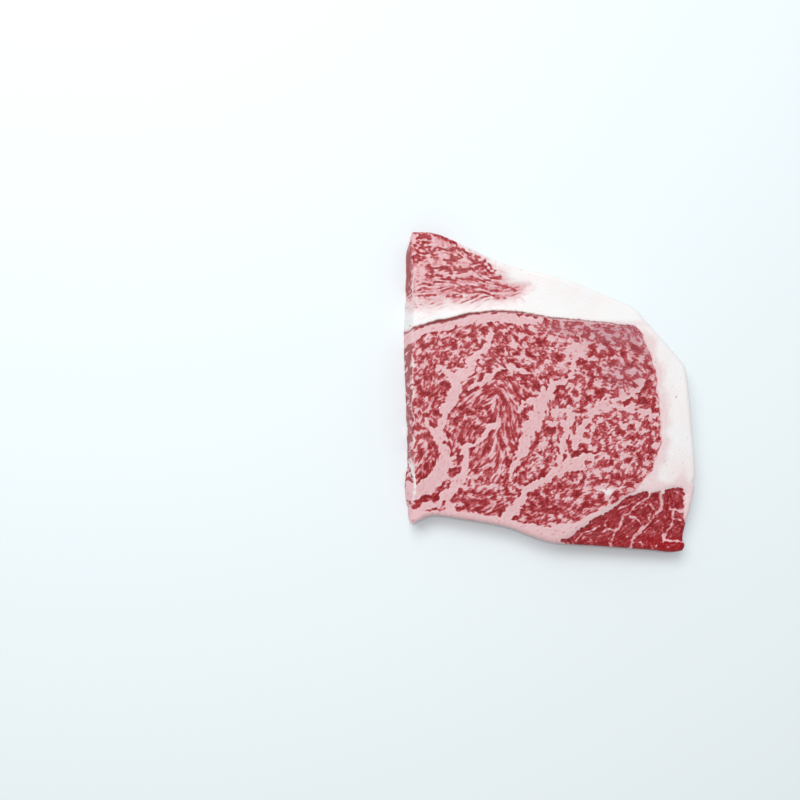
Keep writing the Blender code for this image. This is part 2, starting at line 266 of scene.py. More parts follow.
LEAN_SPOTS = [
    (-33, -24, 3.5, 5, 0.9), (30, -43, 4, 3, 0.8), (38, 19, 4, 4, 0.6), (-12, -63, 6, 2, 0.6),
    (-51.5, 3.5, 2.5, 2.5, 1.2), (-58.5, 2, 6, 5, 0.5), (-61, -34, 4, 6, 0.5), (-39, -16, 8, 9, 0.5),
    (-24.5, 23, 6, 5, 0.4), (-5, 23, 5, 6, 0.5), (-1, 7, 5, 4, 0.7), (-9.5, 3.5, 5, 5, 0.5),
    (-1.5, -19, 2.5, 2.5, 1.8), (14, -29.5, 3.5, 3.5, 2), (19.5, -1.5, 5, 3, 0.9),
    (17, 13.5, 4.5, 3.5, 0.9), (28.5, 19.5, 4.5, 3, 0.6), (46.5, -3, 4.5, 5, 0.9), (27, -15.5, 3.5, 2, 1),
    (44, -30.5, 5, 4, 0.6), (5, -1, 4.5, 4.5, 0.8), (-2.5, -55, 8, 4.5, 1.1), (12.5, -53, 7, 4, 0.8),
    (5, -46.5, 6, 3.5, 0.7), (-36.5, -55, 8, 3, 0.9), (-34, -60, 7, 2, 0.7), (-14.5, -62.5, 5, 2, 0.7),
    (-48, -43, 1.5, 3, 1.2), (-45, -34, 2, 3, 1.3), (-58.5, -52.5, 5, 1.5, 1.4), (22, -21, 4, 2, 0.9),
    (40.5, -41.5, 5, 2.5, 0.5), (-72, 64, 3.2, 14, 1.9),
]

# Pinkish places in the white fat: (x, y, half width, half height, strength)
BLUSH = [
    (-60, 44, 9, 6, 0.7), (-40, 42, 10, 3, 0.35), (-24, 58, 4, 3, 0.4), (-14, 50, 5, 2.5, 0.5),
    (33, 33, 16, 1.5, 0.5),
]
# A white knot of fat between the eye and the tip, in the same form
WHITE_KNOT = (27.2, -48.7, 3.4, 1.6, 1)

# A painted highlight along the top edge of the cut face, drawn as a pale line, as (x, y, width)
CUT_EDGE_HIGHLIGHT = [
    (-66.6, 62, 0.1), (-66.4, 52, 0.6), (-66.8, 42, 0.8), (-67.2, 30, 0.3), (-66.8, 18, 0.3),
    (-66.5, 14, 1.0), (-66.9, 8, 0.2), (-66.7, 1, 0.8), (-67.1, -6, 0.1), (-66.6, -12, 0.8),
    (-67, -17, 0.1), (-66.6, -23, 0.9), (-67.2, -28, 0.1), (-67.2, -33, 0.6), (-66.7, -38, 1),
    (-66.4, -42, 1.2), (-66, -47, 1), (-66.4, -53, 0.3),
]
# The dark line over the eye muscle, as (x, y, width)
SEAM = [
    (-72, 29.5, 0.4), (-61, 32.5, 1.0), (-55, 34, 1.8), (-48.9, 35.2, 1.5), (-43, 36.8, 1.8),
    (-38, 38.1, 1.1), (-26.8, 39.3, 0.7), (-14.6, 38.6, 0.6), (0.1, 35.9, 0.5), (14.8, 34.7, 0.4),
    (29.5, 33.2, 0.35), (40.8, 31.6, 0.3), (44.9, 27.6, 0.2),
]
# Where a milky film dulls the marbling: (x, y, half width, half height, strength)
HAZE = [(34.5, 29, 18, 7, 1), (12, 31, 14, 4, 0.8), (36, 8, 10, 7, 0.6), (46, 22, 6, 9, 0.7)]

# Which way the grain runs: (x, y, degrees anticlockwise from +X)
GRAIN = [
    (-66, 20.5, 60), (-63.5, 8.5, 70), (-64.5, -4, 95), (-64.5, -18.5, 110), (-61, -30.5, 75),
    (-57.5, -38, 55), (-66, -38, 80), (-51.5, 23, 35), (-44, 28, 25), (-46.5, 18.5, 30), (-58.5, 25.5, 40),
    (-46.5, -6, 60), (-49, -16, 80), (-44, 1, 50), (-19.5, -16, 75), (-24.5, -23.5, 65), (-31.5, -30.5, 55),
    (-36.5, -23.5, 50), (-41.5, -16, 60), (-46.5, -26, 60), (-34, -38, 75), (-29.5, -45.5, 75),
    (-22, -38, 70), (-24.5, -30.5, 65), (-39, -35.5, 65), (-17, -23.5, 70), (-39, -53, 15),
    (-29.5, -55, 10), (-46.5, -53, 30), (-24.5, -50.5, 20), (-54, -50.5, 35), (-61, -54.5, 20),
    (-24.5, 25.5, -40), (-14.5, 28, -35), (-5, 28, -30), (5, 28, -25), (-9.5, 18.5, -30), (0, 13.5, -50),
    (-2.5, 3.5, -70), (5, -1.5, 60), (19.5, 3.5, 20), (19.5, 16, -20), (29.5, 23, -15), (44, 20.5, -45),
    (34.5, 11, -30), (46.5, 8.5, -60), (49, -1.5, 60), (44, -11, 30), (34.5, -18.5, 30), (46.5, -23.5, 55),
    (49, -30.5, 60), (44, -38, 50), (34.5, -45.5, 35), (24.5, -50.5, 25), (15, -55, 20), (5, -60, 15),
    (-5, -53, 25), (5, -45.5, 30), (15, -43, 35), (24.5, -38, 40), (-5, -38, 45), (-9.5, -30.5, 50),
    (5, -23.5, 60), (17.5, -18.5, 40), (24.5, -26, 40), (34.5, -30.5, 45), (-12, -57.5, 20),
    (24.5, -11, 25), (-58.5, 73.5, -20), (-44, 67.5, -30), (-34, 61, -35), (-54, 60, -10), (-63.5, 52.5, 5),
    (-44, 52.5, 0), (-29.5, 50, 8), (-54, 46, 12), (-39, 46, 15), (-24.5, 52.5, 5), (15, -72.5, 25),
    (24.5, -67.5, 35), (34.5, -62.5, 45), (46.5, -57.5, 50), (60, -53, 80), (61.5, -65, 60),
    (44, -72.5, 40), (54, -75, 20), (-36.6, 1.5, 42), (-30, 4.5, 22), (-24, 4, -20), (-20, 0, -60),
    (-19, -6, -82), (-19, -13, 80), (-31, -1, 25), (-26, -3, -30), (-24, -9, -78), (-36, -6, 50),
    (-30, -8, 62), (-40, -10, 58), (-30, -16, 68), (-24, -17, 75),
]
GRAIN_REACH = 5.5
# Where the streaks are long: (x, y, reach, streak length)
LONG_GRAIN = [
    (-36.6, -1.3, 6, 1.4), (-29.3, 2.1, 6, 1.7), (-23.4, -3.2, 6, 1.8), (-22.4, -12.5, 6, 1.8),
    (-26, -22, 7, 1.6), (-30.3, -30.7, 8, 1.4), (-41.5, -23.5, 6, 1.1), (-33, -55, 9, 1.0),
    (40.5, -43, 7, 1.0), (19.5, -55.5, 9, 0.9), (-41.5, 49, 12.5, 2.0), (-22, 51, 6, 2.6),
    (-61, -38, 7, 0.9), (29.5, -67.5, 15, 0.8),
]
SHORT_GRAIN = 0.35
LONGEST_STREAK = 4.5
# How much the grain sways by itself, in radians, and over what distance
GRAIN_SWAY = 0.3
SWAY_REACH = 3.0
# How far, in millimetres, lines and borders stray from the points given for them
WANDER = 0.35
WANDER_WAVE = 11.0
# The seam strays least: by this share less, at this height in the plan, over this width
SEAM_CALM = 0.8
SEAM_PLACE = 36
SEAM_BAND = 8
# Over what distance the random patches are brought to even contrast
CONTRAST_REACH = 6.0

# The random patches of the marbling, from coarse to fine: (wavelength in millimetres, weight)
CLUSTERS = [(8.0, 0.5), (5.2, 0.5)]
ISLANDS = [(4.1, 0.35), (2.9, 0.40), (2.0, 0.38), (1.4, 0.30)]
COARSE_ISLANDS = [(5.6, 0.45), (4.1, 0.45), (2.7, 0.35), (1.6, 0.2)]
STRANDS = [(2.0, 1.0), (1.3, 0.7)]
THREADS = [(3.0, 1.0), (1.6, 0.3)]

# What each kind of random patch is drawn from
SEEDS = {
    "sway": 5,
    "clusters": 11,
    "islands": 21,
    "ragged edge": 41,
    "fine ragged edge": 42,
    "rind swells": 45,
    "channel swells": 46,
    "wander in x": 51,
    "wander in y": 52,
    "seam swells": 61,
    "threads": 71,
    "strands": 81,
    "coarse islands": 91,
}

# Levels of lean: about -1 in fat, 0 where lean begins and 2 in the darkest lean
EYE_LEVEL = 0.30
CHANNEL_LEVEL = -1.25
CAP_LEVEL = -0.5
LOW_CAP_LEVEL = -0.42
CAP_WASH_LEVEL = -0.9
STROKE_LEVEL = 1.1
TIP_LEVEL = 1.12
SHEET_LEVEL = -0.5
# The level of the painted highlight along the cut's top edge
HIGHLIGHT_LEVEL = -1.0
OUTER_LEVEL = -1.2
# How much the edges between lean and fat are sharpened, and over what distance
SHARPENING = 0.9
SHARPENING_REACH = 0.45

# The meat's colours by its level of lean
LEAN_COLOURS = [
    (-1.45, "#d5bec0"), (-1.05, "#d4adb0"), (-0.6, "#cd9a9e"), (-0.2, "#c27b80"), (0.1, "#af5359"),
    (0.5, "#a33e44"), (1.0, "#962b31"), (1.5, "#861b21"), (2.2, "#7b151b"),
]
LEAN_LOW = -1.5
LEAN_HIGH = 2.5
# The attributes that the material reads
FIELDS = ("marbling", "rind", "seam", "haze", "fibre", "side_painted_shading")
# The noises of the material: (wavelength in millimetres, detail). The first two make edges ragged, the
# next five vary the colours, two of them with painted sheen and glints on the lean, and the last one makes
# the pools of juice
NOISES = {
    "ragged": (0.9, 2.0),
    "finest": (0.4, 2.0),
    "white": (9.0, 2.0),
    "film": (3.0, 3.0),
    "flecks_and_glints": (1.0, 0.0),
    "milk": (3.5, 2.0),
    "blood": (1.6, 2.0),
    "wet": (1.4, 2.0),
}
BUNDLE_WIDTH = 1.5

# The table top, the light and the lamps: (shape, width, depth, watts, place)
FLOOR_HALF = 1.5
FLOOR_COLOUR = "#dfe7ea"
SKY_COLOUR = (0.98, 0.99, 1.0, 1.0)
SKY_STRENGTH = 0.56
LAMPS = {
    "soft_box": ("RECTANGLE", 0.9, 0.6, 11.4, (-0.38, 0.66, 1.10)),
    "small_lamp": ("DISK", 0.04, 0.04, 1.6, (-0.16, 0.16, 1.0)),
}

# How the photograph was taken: its scale at the steak's rim, and where the steak's origin is in it
PHOTO_SCALE = 0.49
PHOTO_SIDE = 800
STEAK_IN_PHOTO = (549.75, 392.25)
CAMERA_HEIGHT = 383.0
RIM_HEIGHT = 12.5
NEAREST_SEEN = 0.01


def smooth_line(points, count):
    """count + 1 points, evenly spaced along the smooth curve through the given ones."""
    p = np.array(points, float)
    p = np.vstack([2 * p[0] - p[1], p, 2 * p[-1] - p[-2]])
    t = np.linspace(0, 1, CURVE_STEPS, endpoint=False)[:, None]
    spans = [
        (2 * b + (c - a) * t + (2 * a - 5 * b + 4 * c - d) * t**2 + (3 * b - a - 3 * c + d) * t**3) / 2
        for a, b, c, d in zip(p, p[1:], p[2:], p[3:])
    ]
    line = np.vstack([*spans, p[-2:-1]])
    run = np.concatenate([[0], np.cumsum(np.hypot(*np.diff(line, axis=0).T))])
    places = np.linspace(0, run[-1], count + 1)
    return np.column_stack([np.interp(places, run, line[:, i]) for i in (0, 1)])


def outward(loop):
    """The direction out of a closed anticlockwise loop at each of its points."""
    along = np.roll(loop, -1, axis=0) - np.roll(loop, 1, axis=0)
    along /= np.linalg.norm(along, axis=1)[:, None]
    return np.column_stack([along[:, 1], -along[:, 0]])


def evened(values, reach):
    """Each value round a closed loop averaged with its neighbours, reach of them on each side."""
    return sum(np.roll(values, k, axis=0) for k in range(-reach, reach + 1)) / (2 * reach + 1)


def outside(x, y, corners):
    """How far each point lies outside a closed outline: negative where it is inside."""
    corners = np.array(corners, float)
    nearest = np.full(np.shape(x), np.inf)
    inside = np.zeros(np.shape(x), bool)
    for a, b in zip(corners, np.roll(corners, -1, axis=0)):
        along = b - a
        share = np.clip(((x - a[0]) * along[0] + (y - a[1]) * along[1]) / (along @ along), 0, 1)
        nearest = np.minimum(nearest, np.hypot(x - a[0] - share * along[0], y - a[1] - share * along[1]))
        rises = (a[1] > y) != (b[1] > y)
        inside ^= rises & (x < a[0] + (y - a[1]) * along[0] / (along[1] or 1))
    return np.where(inside, -nearest, nearest)


def smooth_step(value):
    """0 up to 0 and 1 from 1 on, with a soft rise between."""
    value = np.clip(value, 0, 1)
    return value * value * (3 - 2 * value)


def top_height(x, y):
    """How high the top face is over each place, in millimetres, as the solid has it."""
    z = np.full(len(x), THICKNESS)
    for (middle_x, middle_y), reach, height in SWELLS:
        z += height * np.exp(-((x - middle_x) ** 2 + (y - middle_y) ** 2) / (2 * reach**2))
    fat = np.ones(len(x))
    for muscle, rise in MUSCLE_RISE:
        depth = smooth_step(0.5 - outside(x, y, muscle) / SEAM_WIDTH)
        z += rise * depth
        fat -= depth
    z += FAT_RISE * np.clip(fat, 0, 1)
    rolls = [noise.noise(Vector((a / ROLL_WIDTH, b / ROLL_WIDTH, 0.5))) for a, b in zip(x, y)]
    return z + ROLL_HEIGHT * 2 * np.array(rolls)


# The plan of the marbling: every field on it is an array over PLAN_X and PLAN_Y

PLAN_X, PLAN_Y = np.meshgrid(
    np.arange(PLAN_LOW[0], PLAN_HIGH[0], PLAN_CELL), np.arange(PLAN_LOW[1], PLAN_HIGH[1], PLAN_CELL)
)


def read_plan(field, x, y):
    """The field's value at each place, between the cells."""
    rows, columns = field.shape
    u = np.clip((x - PLAN_LOW[0]) / PLAN_CELL, 0, columns - 1.001)
    v = np.clip((y - PLAN_LOW[1]) / PLAN_CELL, 0, rows - 1.001)
    i, j = u.astype(int), v.astype(int)
    a, b = u - i, v - j
    near = field[j, i] * (1 - a) + field[j, i + 1] * a
    far = field[j + 1, i] * (1 - a) + field[j + 1, i + 1] * a
    return near * (1 - b) + far * b


def filtered(field, gain):
    """The field with each wave in it scaled by gain(waves per millimetre)."""
    rows, columns = field.shape
    waves = np.hypot(np.fft.fftfreq(rows, PLAN_CELL)[:, None], np.fft.rfftfreq(columns, PLAN_CELL)[None])
    return np.fft.irfft2(np.fft.rfft2(field) * gain(waves), s=field.shape)


def blurred(field, reach):
    """The field softened over the reach in millimetres."""
    return filtered(field, lambda waves: np.exp(-2 * (math.pi * waves * reach) ** 2))


def unit(field):
    """The field with its mean at 0 and its spread at 1."""
    return (field - field.mean()) / field.std()


def grains(seed, wavelength, spread=0.3):
    """Even, random patches whose size is about half the wavelength in millimetres."""
    white = np.random.default_rng(seed).standard_normal(PLAN_X.shape)

    def gain(waves):
        return np.exp(-np.log(np.maximum(waves * wavelength, 1e-6)) ** 2 / (2 * spread**2))

    return unit(filtered(white, gain))


def grain_direction():
    """The grain's unit vector everywhere, blended from the nearest entries of GRAIN."""
    c, s = np.zeros_like(PLAN_X), np.zeros_like(PLAN_X)
    for x, y, degrees in GRAIN:
        share = np.exp(-((PLAN_X - x) ** 2 + (PLAN_Y - y) ** 2) / (2 * GRAIN_REACH**2))
        c += share * math.cos(math.radians(2 * degrees))
        s += share * math.sin(math.radians(2 * degrees))
    white = np.random.default_rng(SEEDS["sway"]).standard_normal(PLAN_X.shape)
    sway = unit(blurred(white, SWAY_REACH))
    turn = np.arctan2(s, c) / 2 + GRAIN_SWAY * sway
    return np.cos(turn), np.sin(turn)


def grain_lines(direction, length, step=0.3):
    """Each cell's places along the grain, both ways: (distance, x, y) at every step of the length."""
    places = []
    for sign in (1, -1):
        x, y = PLAN_X, PLAN_Y
        dx, dy = sign * direction[0], sign * direction[1]
        for k in range(1, int(length / step) + 1):
            x, y = x + dx * step, y + dy * step
            next_x, next_y = read_plan(direction[0], x, y), read_plan(direction[1], x, y)
            flip = np.where(next_x * dx + next_y * dy < 0, -1.0, 1.0)
            dx, dy = next_x * flip, next_y * flip
            places.append((k * step, x, y))
    return places


def drawn_along(places, reach, kind, parts):
    """Random patches of each (size, weight), smeared along the grain, with even contrast."""
    field = sum(weight * grains(SEEDS[kind] + i, size) for i, (size, weight) in enumerate(parts))
    total, weight = field.copy(), np.ones_like(field)
    for run, x, y in places:
        share = np.exp(-(run**2) / (2 * reach**2))
        total += share * read_plan(field, x, y)
        weight += share
    drawn = total / weight
    return drawn / np.sqrt(blurred(drawn * drawn, CONTRAST_REACH))


def wandering():
    """The plan's places shifted to and fro, least along the seam, so that nothing on it runs straight."""
    shift = WANDER * (1 - SEAM_CALM * np.exp(-(((PLAN_Y - SEAM_PLACE) / SEAM_BAND) ** 2)))
    x = PLAN_X + shift * grains(SEEDS["wander in x"], WANDER_WAVE)
    y = PLAN_Y + shift * grains(SEEDS["wander in y"], WANDER_WAVE)
    return x, y


def within_lines(lines):
    """How deep each place lies inside the nearest of the lines of (x, y, width): negative outside."""
    x, y = wandering()
    best = np.full(PLAN_X.shape, -9.0)
    for line in lines:
        for a, b in zip(line, line[1:]):
            along_x, along_y = b[0] - a[0], b[1] - a[1]
            share = np.clip(((x - a[0]) * along_x + (y - a[1]) * along_y) / (along_x**2 + along_y**2), 0, 1)
            away = np.hypot(x - a[0] - share * along_x, y - a[1] - share * along_y)
            best = np.maximum(best, (a[2] + (b[2] - a[2]) * share) / 2 - away)
    return best


def spotted(spots):
    """The strength of the nearest of the soft oval spots at each place."""
    total = np.zeros_like(PLAN_X)
    for x, y, half_width, half_height, strength in spots:
        away = ((PLAN_X - x) / half_width) ** 2 + ((PLAN_Y - y) / half_height) ** 2
        total = np.maximum(total, strength * np.exp(-0.7 * away**1.5))
    return total


def ridge(field, width):
    """1 on the lines where the field is 0, falling to 0 at the width."""
    return np.clip(1 - np.abs(field) / width, 0, 1)


def meat_textures():
    """The random patches that the muscles are drawn with, and the depth inside each muscle."""
    reach = np.full(PLAN_X.shape, SHORT_GRAIN)
    for x, y, spot, length in LONG_GRAIN:
        near = np.exp(-((PLAN_X - x) ** 2 + (PLAN_Y - y) ** 2) / (2 * spot**2))
        reach = np.maximum(reach, length * near)
    places = grain_lines(grain_direction(), LONGEST_STREAK)
    clusters = drawn_along(places, reach * 0.8, "clusters", CLUSTERS)
    islands = drawn_along(places, reach, "islands", ISLANDS)
    coarse = drawn_along(places, reach, "coarse islands", COARSE_ISLANDS)
    # The side towards the rim has larger, rounder islands than the streaked side towards the cut
    far_side = smooth_step((PLAN_X + 14) / 16) * smooth_step((PLAN_Y + 60) / 10)
    islands = islands + (coarse - islands) * 0.5 * far_side
    strands = drawn_along(places, reach * 1.5, "strands", STRANDS)
    threads = ridge(drawn_along(places, reach * 1.3, "threads", THREADS), 0.3)
    texture = 0.5 * np.tanh((islands + 0.3 * clusters) / 0.25) + 0.15 * strands + 0.75 * threads - 0.2
    texture += far_side * (0.8 * ridge(islands + 0.3 * clusters - 0.05, 0.28) - 0.22)
    return SimpleNamespace(
        clusters=clusters,
        islands=islands,
        strands=strands,
        threads=threads,
        texture=texture,
        far_side=far_side,
        ragged=0.45 * grains(SEEDS["ragged edge"], 3.2) + 0.15 * grains(SEEDS["fine ragged edge"], 1.3),
        eye=-outside(*wandering(), EYE_MUSCLE),
        cap=-outside(*wandering(), CAP_MUSCLE),
        tip=-outside(*wandering(), LEAN_TIP),
    )


def eye_lean(meat):
    """The eye: islands of lean in fat, with the larger channels of fat kept clear of lean."""
    lean = EYE_LEVEL + 0.40 * meat.clusters + meat.texture
    lean += 0.8 * spotted(LEAN_SPOTS) - spotted(PALE_SPOTS)
    swells = grains(SEEDS["channel swells"], 7.0)
    depth = within_lines(FAT_CHANNELS.values()) + 0.4 * swells + 0.3 * meat.ragged
    depth -= (0.1 + 0.4 * meat.far_side) * meat.islands
    # Lean gathers beside the channels
    beside = ridge(depth + 1.0, 1.0) * np.clip(0.6 + 0.5 * meat.clusters, 0, 1)
    lean += (0.7 - 0.55 * meat.far_side) * beside
    fat = np.clip(depth / 0.5 + 0.5, 0, 1)
    fat = np.maximum(fat, np.clip(0.5 - (meat.eye - 0.6 + 0.4 * meat.ragged) / 0.6, 0, 1))
    channel = CHANNEL_LEVEL + 0.12 * meat.clusters + 0.25 * meat.strands + 0.1 * meat.islands
    lean = lean * (1 - fat) + channel * fat
    # A thin red edge towards the rim
    skin = ridge(meat.eye - 0.3 + 0.3 * meat.ragged, 0.55)
    skin = skin * smooth_step((PLAN_X - 28) / 14) * smooth_step((PLAN_Y + 62) / 8)
    return np.maximum(lean, -1.0 + 1.6 * skin * np.clip(0.8 + 0.3 * meat.clusters, 0, 1))


def cap_lean(meat):
    """The cap: strokes of lean on pale meat, turning to fine streaks and to fat towards the seam."""
    low_part = np.clip((57 - PLAN_Y) / 6, 0, 1)
    fading = np.clip(40.2 - 0.15 * PLAN_X - PLAN_Y, 0, 20)
    lean = (CAP_LEVEL + 0.2 * meat.clusters + 0.3 * meat.texture) * (1 - low_part) + spotted(LEAN_SPOTS)
    lean += (LOW_CAP_LEVEL + 0.4 * meat.strands + 0.15 * meat.clusters - 0.10 * fading) * low_part
    depth = within_lines(CAP_STROKES) + 0.5 * meat.ragged + 0.2 * meat.strands
    wash = CAP_WASH_LEVEL + 0.8 * np.clip((depth + 1.2) / 1.2, 0, 1) + 0.15 * meat.strands
    stroke = STROKE_LEVEL + 0.4 * meat.texture + 0.2 * meat.strands - 0.4 * low_part
    strokes = np.clip(depth / 0.9 + 0.5, 0, 1)
    lean = np.maximum(lean, wash) * (1 - strokes) + stroke * strokes
    edge = np.clip((meat.cap + 0.5 * meat.ragged) / (1.0 + 2.5 * low_part), 0, 1)
    return lean * edge + OUTER_LEVEL * (1 - edge)


def tip_lean(meat):
    """The tip: nearly all lean, with thin sheets of fat."""
    lean = TIP_LEVEL + 0.3 * meat.clusters + 0.3 * meat.strands + 0.8 * meat.threads
    lean -= 0.8 * np.clip(meat.islands - 0.8, 0, 1)
    sheets = np.clip((within_lines(TIP_SHEETS) + 0.3 * meat.ragged) / 0.6 + 0.5, 0, 1)
    lean = lean * (1 - sheets) + (SHEET_LEVEL + 0.2 * meat.clusters) * sheets
    edge = np.clip((meat.tip + 0.4 * meat.ragged) / 0.5 + 0.5, 0, 1)
    return lean * edge + OUTER_LEVEL * (1 - edge)


def white_fat(meat):
    """White fat: none in the eye or along the trimmed near edge, and little in the cap and beside the eye."""
    swells = grains(SEEDS["rind swells"], 14.0)
    away = -np.maximum(meat.eye, meat.tip) + 0.4 * meat.ragged
    beside_eye = 0.46 + 0.5 * smooth_step((away - 1.5 + 1.2 * swells) / 5.5)
    above_seam = smooth_step((PLAN_Y - 26) / 8)
    rind = smooth_step(away / 0.9) * (beside_eye * (1 - above_seam) + above_seam)
    in_cap = smooth_step((meat.cap + 3.5 + 0.8 * meat.islands) / 7)
    in_cap *= smooth_step((PLAN_Y - 37 + 1.2 * meat.clusters) / 12)
    blush = spotted(BLUSH) * np.clip(0.8 + 0.25 * meat.strands, 0, 1)
    rind *= (1 - 0.95 * in_cap) * (1 - blush)
    rind = rind * (1 - trimmed_fat()) + 0.06 * trimmed_fat()
    return np.maximum(rind, 0.8 * spotted([WHITE_KNOT]))


def marbling_plan():
    """The fields that the material reads, each by its attribute's name."""
    meat = meat_textures()
    marbling = np.maximum(eye_lean(meat), np.maximum(cap_lean(meat), tip_lean(meat)))
    # Sharper edges, to make up for the size of the mesh's cells
    marbling += SHARPENING * (marbling - blurred(marbling, SHARPENING_REACH))
    # The painted highlight along the cut's top edge, put in as pale fat and whiter towards the near end
    film = np.clip((within_lines([CUT_EDGE_HIGHLIGHT]) + 0.3 * meat.ragged) / 0.5 + 0.5, 0, 1)
    highlight_white = 0.55 + 0.35 * smooth_step((-32 - PLAN_Y) / 6)
    return {
        "marbling": marbling * (1 - film) + HIGHLIGHT_LEVEL * film,
        "rind": np.maximum(white_fat(meat), highlight_white * film),
        "seam": seam_plan(),
        "haze": spotted(HAZE) * smooth_step((meat.eye + 0.4) / 1.2),
        "fibre": meat.strands,
    }


def trimmed_fat():
    """1 in the pinkish fat along the near edge, fading out between the eye and the tip."""
    below_eye = smooth_step((outside(*wandering(), EYE_MUSCLE) + 0.5) / 0.8)
    below_eye *= smooth_step((-22 - PLAN_Y) / 16)
    return below_eye * (1 - 0.85 * smooth_step((PLAN_X - 2) / 44))


def seam_plan():
    """1 along the dark line between the eye and the fat over it, which thins out towards the rim."""
    depth = within_lines([SEAM]) + 0.08 * grains(SEEDS["seam swells"], 3.4)
    return smooth_step(depth / 0.5 + 0.6)


def spread(border, columns, rows):
    """Fills a closed border of 2 * (columns + rows) points with a grid of rows by columns cells."""
    near = border[: columns + 1]
    right = border[columns : columns + rows + 1]
    far = border[columns + rows : 2 * columns + rows + 1][::-1]
    left = np.vstack([border[2 * columns + rows :], border[:1]])[::-1]
    u = np.linspace(0, 1, columns + 1)[None, :, None]
    v = np.linspace(0, 1, rows + 1)[:, None, None]
    sides = (1 - v) * near[None] + v * far[None] + (1 - u) * left[:, None] + u * right[:, None]
    corners = (1 - v) * ((1 - u) * near[0] + u * near[-1]) + v * ((1 - u) * far[0] + u * far[-1])
    grid = sides - corners
    for _ in range(EVENING_ROUNDS):
        grid[1:-1, 1:-1] = (grid[:-2, 1:-1] + grid[2:, 1:-1] + grid[1:-1, :-2] + grid[1:-1, 2:]) / 4
    return grid.reshape(-1, 2)


def border_indices(columns, rows):
    """Which points of a grid are on its border, in the order of the loop."""
    index = np.arange((columns + 1) * (rows + 1)).reshape(rows + 1, columns + 1)
    return np.concatenate([index[0, :-1], index[:-1, -1], index[-1, :0:-1], index[:0:-1, 0]])


def grid_faces(columns, rows):
    """The four corners of each cell of a grid, anticlockwise."""
    index = np.arange((columns + 1) * (rows + 1)).reshape(rows + 1, columns + 1)
    return np.stack([index[:-1, :-1], index[:-1, 1:], index[1:, 1:], index[1:, :-1]], axis=-1).reshape(-1, 4)


def side_rings(rim, foot, radius, natural):
    """Rings of (x, y, z) points from the top face's border, over the rim and down to the floor."""
    out = outward(rim)
    inward = -evened(out * radius[:, None], round(OFFSET_BLEND / CELL))
    top = top_height(*(rim + inward).T)
    levels = [("rim", k / RIM_STEPS) for k in range(RIM_STEPS + 1)]
    levels += [("side", k / SIDE_STEPS) for k in range(1, SIDE_STEPS + 1)]
    levels += [("foot", k / FOOT_STEPS) for k in range(1, FOOT_STEPS + 1)]
    rings = []
    for part, share in levels:
        turn = share * math.pi / 2
        inset = 0.0
        rounded = 0.0
        if part == "rim":
            z = top - radius * (1 - math.cos(turn))
            rounded = 1 - math.sin(turn)
        elif part == "side":
            z = (top - radius) * (1 - share) + FOOT_RADIUS * share
        else:
            z = FOOT_RADIUS * (1 - math.sin(turn)) * np.ones(len(rim))
            inset = FOOT_RADIUS * (1 - math.cos(turn))
        height = z / top
        bulge = SIDE_BULGE * natural * np.sin(math.pi * height)
        place = foot + (rim - foot) * height[:, None]
        crag = np.array([
            noise.noise(Vector((a / CRAG_WIDTH, b / CRAG_WIDTH, c / CRAG_WIDTH / 2)))
            for (a, b), c in zip(place, z)
        ])
        away = bulge + CRAG_DEPTH * crag * (part != "rim") - inset
        place = place + out * away[:, None] + inward * rounded
        rings.append(np.column_stack([place, z]))
    return rings


def steak_form():
    """The steak's points in millimetres and its faces."""
    length = sum(math.dist(a, b) for a, b in zip(NEAR_EDGE, NEAR_EDGE[1:]))
    depth = sum(math.dist(a, b) for a, b in zip(CUT_EDGE, CUT_EDGE[1:]))
    columns, rows = (UNDER_CELLS * round(size / CELL / UNDER_CELLS) for size in (length, depth))
    near = smooth_line(NEAR_EDGE, columns)
    far = smooth_line(FAR_EDGE, columns)
    right = smooth_line(RIGHT_EDGE[::-1], rows)[::-1]
    cut = smooth_line(CUT_EDGE, rows)
    rim = np.vstack([near[:-1], right[::-1][:-1], far[::-1][:-1], cut[::-1][:-1]])

    foot = rim - FOOT_INSET * outward(rim)
    foot[-rows:] = smooth_line(CUT_FOOT, rows)[::-1][:-1]
    natural = np.ones(len(rim))
    natural[-rows:] = 0
    reach = round(CORNER_BLEND / CELL)
    foot = rim + evened(foot - rim, reach)
    natural = evened(natural, reach)
    radius = CUT_RIM_RADIUS + (RIM_RADIUS - CUT_RIM_RADIUS) * natural
    rings = side_rings(rim, foot, radius, natural)

    place = spread(rings[0][:, :2], columns, rows)
    points = [np.column_stack([place, top_height(place[:, 0], place[:, 1])])]
    faces = [grid_faces(columns, rows)]
    above = border_indices(columns, rows)
    count = len(place)
    for ring in rings[1:]:
        below = count + np.arange(len(ring))
        faces.append(np.stack([np.roll(above, 1), np.roll(below, 1), below, above], axis=-1))
        points.append(ring)
        above, count = below, count + len(ring)

    # The underside has larger cells: each of its border cells meets UNDER_CELLS cells of the side
    under_columns, under_rows = columns // UNDER_CELLS, rows // UNDER_CELLS
    lowest = rings[-1]
    inner = lowest[::UNDER_CELLS, :2] - outward(rim)[::UNDER_CELLS] * CELL * UNDER_CELLS / 2
    place = spread(inner, under_columns, under_rows)
    points.append(np.column_stack([place, np.zeros(len(place))]))
    under = grid_faces(under_columns, under_rows)
    faces.append(count + under[:, ::-1])
    border = count + border_indices(under_columns, under_rows)
    beside = np.roll(border, -1)
    middle = UNDER_CELLS // 2
    ring = np.column_stack([above.reshape(-1, UNDER_CELLS), np.roll(above, -UNDER_CELLS)[::UNDER_CELLS]])
    fans = [np.stack([border, beside, ring[:, middle]], axis=-1)]
    for k in range(UNDER_CELLS):
        corner = border if k < middle else beside
        fans.append(np.stack([corner, ring[:, k + 1], ring[:, k]], axis=-1))
    fans = np.concatenate(fans)
    points = np.vstack(points)
    return points, [list(face) for group in (*faces, fans) for face in group.tolist()]


